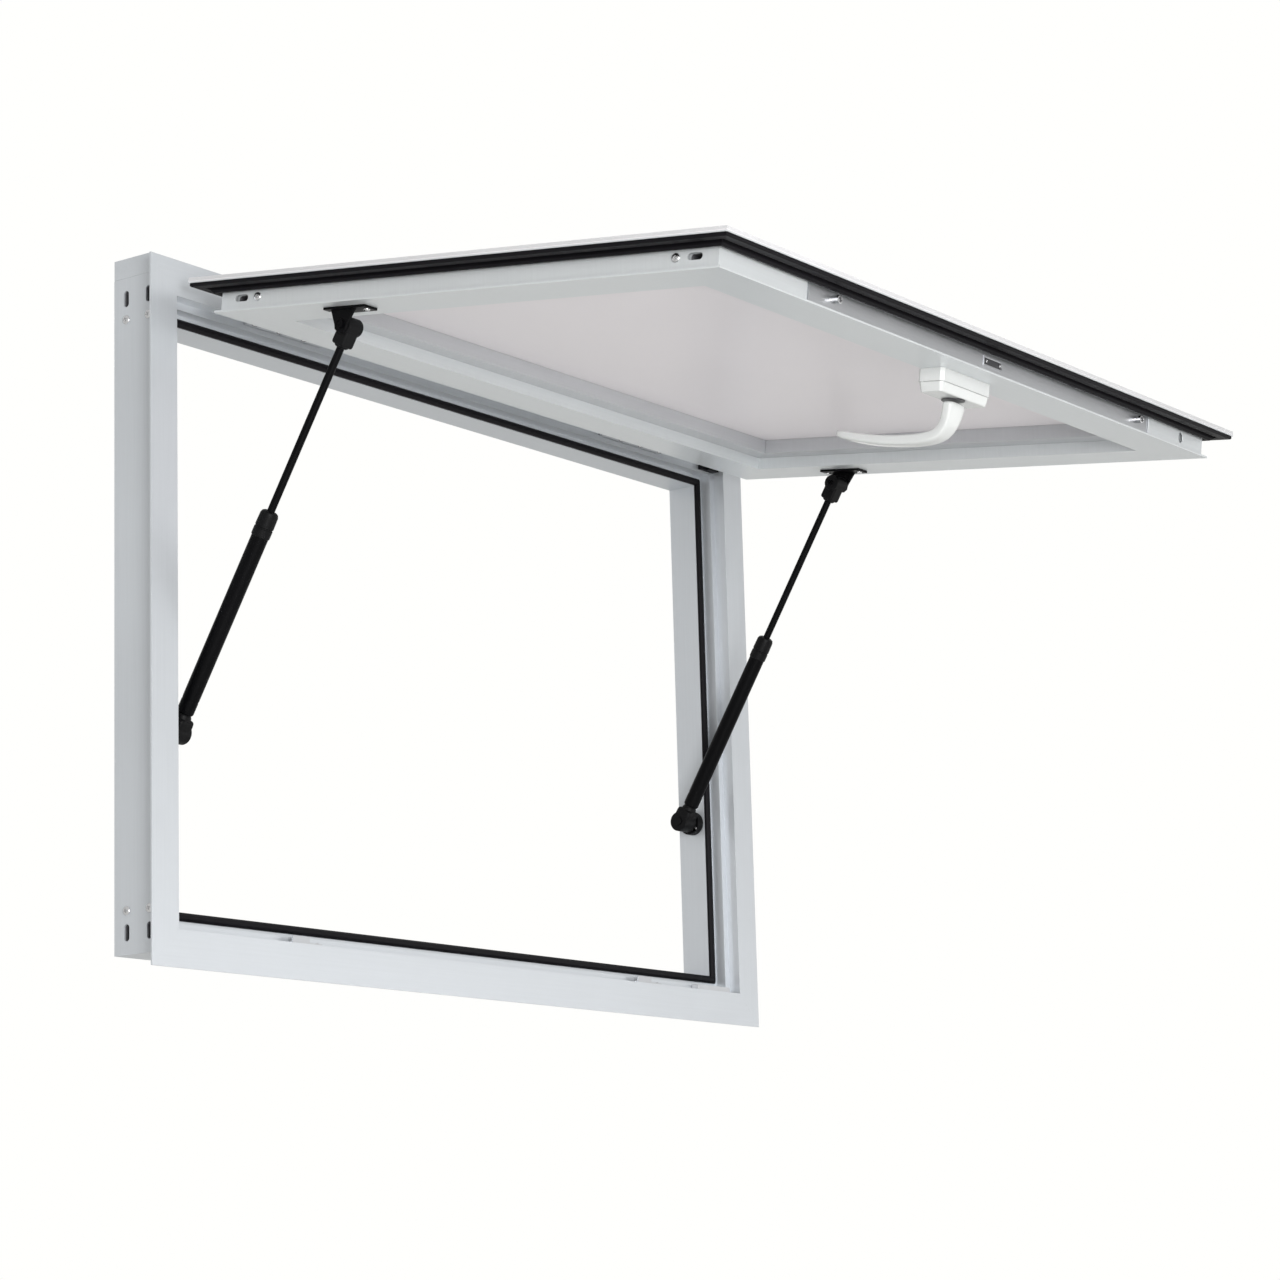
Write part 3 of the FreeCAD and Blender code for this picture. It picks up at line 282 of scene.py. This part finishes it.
def aligned(origin, direction, upwards=Vector((0, 0, 1))):
    """A space with its Z along a direction, in millimetres, at a point in metres."""
    along = direction.normalized()
    side = upwards.cross(along)
    side = side.normalized() if side.length > 1e-4 else Vector((1, 0, 0))
    rotation = Matrix((side, along.cross(side), along)).transposed().to_4x4()
    return Matrix.Translation(origin) @ rotation @ Matrix.Scale(MM, 4)


# ---- screws ------------------------------------------------------------------------------------

def islands(node):
    """The separate solids of a node, as lists of points."""
    shell = bmesh.new()
    shell.from_mesh(NODES[node].data)
    bmesh.ops.remove_doubles(shell, verts=shell.verts, dist=WELD)
    unseen, found = set(shell.verts), []
    while unseen:
        group, edge = [], [unseen.pop()]
        while edge:
            vertex = edge.pop()
            group.append(vertex.co.copy())
            for link in vertex.link_edges:
                other = link.other_vert(vertex)
                if other in unseen:
                    unseen.discard(other)
                    edge.append(other)
        found.append(group)
    shell.free()
    return found


def off_axis(point, middle, axis):
    """How far a point is from an axis through the middle."""
    offset = point - middle
    return (offset - axis * offset.dot(axis)).length


def axis_of(points):
    """A turned solid's axis and middle.

    Of X, Z and the sash's normal it takes the one about which the points have the fewest
    different radii, and the slimmest where two have as few.
    """
    normal = (SASH_SPACE.to_3x3() @ Vector((0, 1, 0))).normalized()
    best = None
    for axis in (Vector((1, 0, 0)), Vector((0, 0, 1)), normal):
        spans = [point.dot(axis) for point in points]
        middle = sum(points, Vector()) / len(points)
        radii = [off_axis(point, middle, axis) for point in points]
        slimness = (max(spans) - min(spans)) / max(radii)
        rounds = len({round(radius, 5) for radius in radii})
        if best is None or rounds < best[0] or (rounds == best[0] and slimness > best[1]):
            best = (rounds, slimness, axis, middle)
    return best[2], best[3]


def screw_head(points):
    """A domed pan head with a cross recess on a shank, in the place of a plain stepped one."""
    axis, middle = axis_of(points)
    along = [(point - middle).dot(axis) for point in points]
    around = [off_axis(point, middle, axis) for point in points]
    wide, slim = max(around), min(around)
    low, high = min(along), max(along)
    head = [place for place, radius in zip(along, around) if radius > (wide + slim) / 2]
    head_middle = sum(head) / len(head)
    if abs(head_middle - low) < abs(head_middle - high):
        axis, low, high = -axis, -high, -low
        head = [-place for place in head]
    base = min(head)
    tall, length = (high - base) / MM, (base - low) / MM
    radius, shank = wide / MM, slim / MM
    place = aligned(middle + axis * base, axis)
    profile = [(-length, shank * 0.55), (-length + 1, shank), (0, shank), (0, radius * 0.96),
               (tall * 0.25, radius), (tall * 0.6, radius * 0.93), (tall * 0.86, radius * 0.74),
               (tall, radius * 0.45)]
    shell = lathe(profile, place, 24)
    top = max(shell.faces, key=lambda face: (place.inverted() @ face.calc_center_median()).z)
    bmesh.ops.inset_region(shell, faces=[top], thickness=radius * 0.12 * MM)
    cross(shell, top, place, radius)
    return shell


def cross(shell, top, place, radius):
    """Sinks every other eighth of a round face, which leaves a cross-shaped recess."""
    parts = bmesh.ops.poke(shell, faces=[top])["faces"]
    count = len(parts)
    chosen = [face for number, face in enumerate(parts) if (number * 8 // count) % 2 == 0]
    sunk = bmesh.ops.extrude_face_region(shell, geom=chosen)["geom"]
    corners = [item for item in sunk if isinstance(item, bmesh.types.BMVert)]
    depth = place.to_3x3() @ Vector((0, 0, -radius * 0.28))
    bmesh.ops.translate(shell, verts=corners, vec=depth)
    bmesh.ops.delete(shell, geom=chosen, context="FACES_ONLY")


def screws(node, material):
    """All the screws of a node as one piece."""
    heads = merged([screw_head(points) for points in islands(node)])
    add_piece(finished(heads, node), node, material)


def screws_and_bolts(node):
    """Bright screws, and the black bolts across the window that carry the struts' eyes."""
    groups = {"bright": [], "black": []}
    for points in islands(node):
        axis, _ = axis_of(points)
        groups["black" if abs(axis.x) > 0.9 else "bright"].append(screw_head(points))
    for finish, shells in groups.items():
        add_piece(finished(merged(shells), node), node, MATERIALS[finish], f"{node}_{finish}")


# ---- struts ------------------------------------------------------------------------------------

# Lengths along a strut with the sash open, and radii about it, in millimetres.
STRUT_REACH = 448.0            # between its two pivots
EYE_REACH = 23.0               # from the upper pivot to the end of the eye's shank
FOOT_REACH = 21.0              # from the lower pivot to the end of the tube
ROD_OUT = 202.0                # from the upper pivot to the gland
GLAND_LONG = 28.0
GLAND_GRIP = 4.0               # how far the gland goes over the tube
EYE_HALF = 11.0                # half of an eye's width across the strut
EYE_RADIUS = 9.5
FOOT_RADIUS = 11.8
ROD_RADIUS = 4.0
PISTON_RADIUS = 7.4
TUBE_RADIUS = 9.0


def strut_space(side):
    """Z runs along the strut towards the sash, X across the window, and 0 is the upper pivot."""
    pivot = JOINTS["strut_pivot_" + side]
    along = Vector(JOINTS["strut_slide_" + side]["axis"])
    return aligned(Vector(pivot["pos_m"]), along, Vector((0, 1, 0)))


def rounded_block(place, middle, size, round_by, segments=5):
    """A block with all its edges rounded."""
    shell = bmesh.new()
    bmesh.ops.create_cube(shell, size=1.0)
    for vertex in shell.verts:
        vertex.co = Vector(middle) + Vector([vertex.co[i] * size[i] for i in range(3)])
    bmesh.ops.bevel(shell, geom=shell.edges[:], offset=round_by, segments=segments, profile=0.6,
                    affect="EDGES", clamp_overlap=True)
    shell.transform(place)
    return shell


def turned_across(place, centre, half, radius, edge=1.6):
    """A short drum across the strut with rounded rims."""
    nick = edge * 0.3
    rim = [(half - edge, radius), (half - nick, radius - nick), (half, radius - edge)]
    profile = [(-along, out) for along, out in reversed(rim)] + rim
    turned = place @ Matrix.Translation(centre) @ Matrix.Rotation(math.pi / 2, 4, "Y")
    return lathe(profile, turned, 48)


def strut(side):
    """The five pieces of one gas strut."""
    place = strut_space(side)
    foot = -STRUT_REACH
    gland_low = -ROD_OUT - GLAND_LONG

    eye = [turned_across(place, Vector((0, 0, 0)), EYE_HALF, EYE_RADIUS),
           rounded_block(place, (0, 0, -11), (17, 17, 20), 3.5),
           lathe([(-EYE_REACH, 5.4), (-EYE_REACH + 1.2, 7.0), (-15, 7.8), (-10, 7.8)], place)]
    add_piece(finished(merged(eye), "eye"), "strut_eye_" + side, MATERIALS["moulded"])

    rod = lathe([(-243, PISTON_RADIUS), (-237, PISTON_RADIUS), (-237, ROD_RADIUS),
                 (-15, ROD_RADIUS)], place)
    add_piece(finished(rod, "rod"), "strut_rod_" + side, MATERIALS["black"])

    cap = [(gland_low, 9.2), (gland_low + 0.8, 9.85), (gland_low + 9, 9.9), (gland_low + 9.6, 9.3),
           (gland_low + 10.6, 9.3), (gland_low + 11.2, 9.9), (-ROD_OUT - 4, 9.6),
           (-ROD_OUT - 1.2, 8.4), (-ROD_OUT, 6.2), (-ROD_OUT, 4.3), (-ROD_OUT - 2, 4.2)]
    add_piece(finished(lathe(cap, place, 56), "gland"), "strut_gland_" + side,
              MATERIALS["moulded"])

    top, low = gland_low + GLAND_GRIP, foot + FOOT_REACH
    groove = TUBE_RADIUS - 0.25
    tube = [(low + 0.4, 7.9), (low + 1.6, 8.8), (low + 3, TUBE_RADIUS), (low + 14, TUBE_RADIUS),
            (low + 15, groove), (low + 16.4, groove), (low + 17.4, TUBE_RADIUS),
            (top, TUBE_RADIUS)]
    add_piece(finished(lathe(tube, place, 56), "tube"), "strut_tube_" + side, MATERIALS["black"])

    sign = 1 if side == "right" else -1
    boss = [turned_across(place, Vector((0, 0, foot)), EYE_HALF, FOOT_RADIUS),
            rounded_block(place, (0, 0, foot + 7), (21, 21, 20), 5.5),
            lathe([(foot + 13, 9.4), (foot + 18.4, 8.6), (low, 7.2)], place),
            turned_across(place, Vector((sign * (EYE_HALF + 0.3), 0, foot)), 0.35, 5, 0.1),
            turned_across(place, Vector((-sign * (EYE_HALF + 0.7), 0, foot)), 0.75, 5.4, 0.4)]
    add_piece(finished(merged(boss), "foot"), "strut_foot_" + side, MATERIALS["moulded"])


# ---- lever -------------------------------------------------------------------------------------

# The lever's centre line: distance towards the hinge, height above the rail, and the section's
# width and thickness there. The neck rises from the rosette, then the grip sweeps over.
LEVER_SIDES = 32
OVAL = 0.5                     # the power that flattens the section's sine and cosine
LEVER_LINE = [(-1.5, 26.2, 31, 13), (-1, 33, 29.6, 13), (1, 42, 26.6, 12.8),
              (4, 50.5, 24, 12.6), (10.5, 58.4, 22.4, 12.4), (20.5, 62.4, 21.4, 12),
              (38, 64.3, 20.6, 11.6), (62, 64.3, 20, 11), (86, 62.6, 19.8, 10.6),
              (106, 59.8, 19.2, 10), (124, 56.3, 17.6, 9), (135, 53.6, 14.2, 7.2),
              (139, 52.4, 8.5, 4.2)]


def lever():
    """A smooth lever of flattened oval section, swept along its centre line."""
    shell = bmesh.new()
    rings = []
    line = [Vector((0, SASH_FACE + height, SPINDLE[1] + along)) for along, height, *_ in LEVER_LINE]
    for index, (centre, (_, _, width, thick)) in enumerate(zip(line, LEVER_LINE)):
        before, after = line[max(index - 1, 0)], line[min(index + 1, len(line) - 1)]
        heading = (after - before).normalized()
        across = Vector((1, 0, 0))
        up = heading.cross(across)
        ring = []
        for step in range(LEVER_SIDES):
            turn = 2 * math.pi * step / LEVER_SIDES
            flat = math.copysign(abs(math.cos(turn)) ** OVAL, math.cos(turn)) * width / 2
            rise = math.copysign(abs(math.sin(turn)) ** OVAL, math.sin(turn)) * thick / 2
            spot = centre + across * (flat + SPINDLE[0]) + up * rise
            ring.append(shell.verts.new(SASH_SPACE @ spot))
        rings.append(ring)
    join_rings(shell, rings)
    bmesh.ops.recalc_face_normals(shell, faces=shell.faces)
    piece = add_piece(finished(shell, "lever"), "handle_grip", MATERIALS["white"])
    piece.modifiers.clear()
    smooth = piece.modifiers.new("smooth", "SUBSURF")
    smooth.levels = smooth.render_levels = 2


# ---- lock --------------------------------------------------------------------------------------

PIN_SET_BACK = 0.14            # how far a sleeve's end is short of its CAD pin's, as a share


def lock_pins():
    """A sleeve with a hollow end in the place of each turned solid of the node."""
    down = (SASH_SPACE.to_3x3() @ Vector((0, 0, -1))).normalized()
    shells = []
    for points in islands("lock_pins"):
        middle = sum(points, Vector()) / len(points)
        reach = [(point - middle).dot(down) for point in points]
        length = (max(reach) - min(reach)) / MM
        radius = max(off_axis(point, middle, down) for point in points) / MM
        place = aligned(middle, down) @ Matrix.Translation((0, 0, length * (0.5 - PIN_SET_BACK)))
        bore = 0.62 * radius
        shells.append(lathe([(-length, radius), (-0.5, radius), (-0.12, radius - 0.15),
                             (0, radius - 0.5), (0, bore + 0.2), (-0.3, bore),
                             (-min(length * 0.5, 4), bore * 0.9)], place, 32))
    add_piece(finished(merged(shells), "pins"), "lock_pins", MATERIALS["bright"])


def fork_plate():
    """The fork's cover: a bright rim round a recess, with a thin dark sheet of painted shade on its floor."""
    shell = welded("fork_plate")
    face = min(shell.faces, key=lambda item: (SASH_SPACE.inverted() @ item.calc_center_median()).z)
    bmesh.ops.inset_region(shell, faces=[face], thickness=1.3 * MM)
    bmesh.ops.inset_region(shell, faces=[face], thickness=0.1 * MM, depth=-0.6 * MM)
    centre, normal = face.calc_center_median(), face.normal.copy()
    add_piece(finished(shell, "fork_rim"), "fork_plate", MATERIALS["satin"])
    place = aligned(centre, normal)
    flat = place.to_3x3().inverted() @ Vector((MM, 0, 0))
    long, short = 32, 6.6
    size = (long, short, 0.1) if abs(flat.x) > abs(flat.y) else (short, long, 0.1)
    # A thin dark sheet on the recess floor: painted shade that stands for the depth of the fork's slot.
    floor = rounded_block(place, (0, 0, 0.06), size, 0.02, 1)
    add_piece(finished(floor, "fork_floor"), "fork_plate", MATERIALS["dark"], "fork_plate_recess")


# ---- the object --------------------------------------------------------------------------------

# How far edges are rounded, in millimetres.
DIE_EDGE = 0.5                 # extruded frame, cast keys and turned pins
RAIL_EDGE = 0.18
BEAD_EDGE = 0.4
SHEET_EDGE = 0.12
PRESSED_EDGE = 0.3


def build():
    """Every piece of the window."""
    for node, finish in (("frame_head", "level"), ("frame_sill", "level"),
                         ("frame_jamb_left", "upright"), ("frame_jamb_right", "upright"),
                         ("head_spacer", "level")):
        softened(node, MATERIALS[finish], DIE_EDGE)
    for side, run in (("hinge", "level"), ("free", "level"), ("left", "side"), ("right", "side")):
        softened("sash_rail_" + side, MATERIALS["sash_" + run], RAIL_EDGE)
        softened("bead_" + side, MATERIALS["bead_" + run], BEAD_EDGE)
        softened("edge_gasket_" + side, MATERIALS["rubber"], 0.45, 3)
    for side in ("head", "sill", "left", "right"):
        softened("stop_gasket_" + side, MATERIALS["rubber"], 0.6, 3)
    softened("outer_skin", MATERIALS["skin"], SHEET_EDGE)
    softened("inner_skin", MATERIALS["panel"], SHEET_EDGE)
    softened("panel_core", MATERIALS["core"], 0.1)
    softened("corner_keys", MATERIALS["cast"], DIE_EDGE)
    softened("sash_corner_keys", MATERIALS["cast"], DIE_EDGE)
    softened("sill_corner_block", MATERIALS["clear"], DIE_EDGE, 3)
    softened("head_corner_block", MATERIALS["rubber"], DIE_EDGE, 3)
    softened("hinge_pins", MATERIALS["bright"], DIE_EDGE, 3)
    softened("lock_bar", MATERIALS["satin"], PRESSED_EDGE)
    lock_pins()
    fork_plate()
    softened("handle_base", MATERIALS["white"], 1.2, 4)
    softened("handle_cover", MATERIALS["white"], 1.4, 4)
    softened("handle_spindle", MATERIALS["dark"], PRESSED_EDGE)
    for side in ("left", "right"):
        softened("keeper_" + side, MATERIALS["satin"], PRESSED_EDGE)
        softened("strut_mount_" + side, MATERIALS["moulded"], 0.9, 3)
        softened("hinge_strap_" + side, MATERIALS["satin"], PRESSED_EDGE)
        softened("hinge_leaf_" + side, MATERIALS["satin"], PRESSED_EDGE)
        softened("strut_bracket_" + side, MATERIALS["black"], 0.4, 3)
        strut(side)
    for node in ("corner_screws", "sash_corner_screws", "frame_hardware_screws"):
        screws(node, MATERIALS["bright"])
    screws_and_bolts("sash_hardware_screws")
    lever()


# ---- camera, floor and light -------------------------------------------------------------------

CAMERA_TURN = (54.066, 10.929, -1.6355)          # degrees: azimuth, upwards, roll
CAMERA_AT = (-3.0762, -2.4608, -0.4070)          # metres
LENS = 101.63                                    # millimetres, like the sensor's width
SENSOR = 36
SHIFT = (-0.0067, 0.0235)                        # shares of the frame
FLOOR_HALF = 12                                  # metres
FLOOR_LEVEL = -0.75


def add_camera():
    """The photo's camera."""
    azimuth, elevation, roll = (math.radians(angle) for angle in CAMERA_TURN)
    forward = Vector((math.sin(azimuth) * math.cos(elevation),
                      math.cos(azimuth) * math.cos(elevation), math.sin(elevation)))
    level = Vector((math.cos(azimuth), -math.sin(azimuth), 0))
    up = level.cross(forward)
    across = level * math.cos(roll) + up * math.sin(roll)
    up = up * math.cos(roll) - level * math.sin(roll)
    camera = bpy.data.objects.new("camera", bpy.data.cameras.new("camera"))
    camera.matrix_world = (Matrix.Translation(CAMERA_AT)
                           @ Matrix((across, up, -forward)).transposed().to_4x4())
    camera.data.lens = LENS
    camera.data.sensor_width = SENSOR
    camera.data.shift_x, camera.data.shift_y = SHIFT
    bpy.context.scene.collection.objects.link(camera)
    bpy.context.scene.camera = camera


def add_light(name, at, towards, size, power):
    """A white disk of a size in metres and a power in watts, facing a point."""
    light = bpy.data.lights.new(name, "AREA")
    light.shape = "DISK"
    light.size = size
    light.energy = power
    lamp = bpy.data.objects.new(name, light)
    lamp.location = at
    lamp.rotation_euler = (Vector(towards) - Vector(at)).to_track_quat("-Z", "Y").to_euler()
    bpy.context.scene.collection.objects.link(lamp)


def add_surround(backdrop, bright, dim):
    """A white backdrop in one direction that fades into a dimmer room behind the camera."""
    world = bpy.data.worlds.new("surround")
    world.use_nodes = True
    nodes, links = world.node_tree.nodes, world.node_tree.links
    place = nodes.new("ShaderNodeTexCoord")
    facing = nodes.new("ShaderNodeVectorMath")
    facing.operation = "DOT_PRODUCT"
    facing.inputs[1].default_value = backdrop
    level = nodes.new("ShaderNodeMapRange")
    level.interpolation_type = "SMOOTHSTEP"
    fade = {"From Min": 0.45, "From Max": 0.93, "To Min": dim, "To Max": bright}
    for name, value in fade.items():
        level.inputs[name].default_value = value
    links.new(place.outputs["Generated"], facing.inputs[0])
    links.new(facing.outputs["Value"], level.inputs["Value"])
    nodes["Background"].inputs["Color"].default_value = (1.0, 1.0, 0.985, 1)
    links.new(level.outputs["Result"], nodes["Background"].inputs["Strength"])
    bpy.context.scene.world = world


def add_studio():
    """A pale floor below the camera's view, a bright even surround, and two soft lamps."""
    mesh = bpy.data.meshes.new("floor")
    corners = [(FLOOR_HALF * x, FLOOR_HALF * y, FLOOR_LEVEL)
               for x, y in ((-1, -1), (1, -1), (1, 1), (-1, 1))]
    mesh.from_pydata(corners, [], [(0, 1, 2, 3)])
    floor = bpy.data.objects.new("floor", mesh)
    bpy.context.scene.collection.objects.link(floor)
    mesh.materials.append(surface("floor_paint", (0.82, 0.82, 0.81), 0.8, vary=0.01, grain=40))
    add_surround((0.795, 0.576, 0.19), 1.0, 0.66)
    middle = (0, -0.2, 0.35)
    add_light("key", (-2.3, -3.2, 0.15), middle, 1.6, 105)
    add_light("fill", (2.4, -2.4, -0.3), middle, 1.8, 10)
    bpy.context.scene.view_settings.view_transform = "Standard"


build()
add_camera()
add_studio()
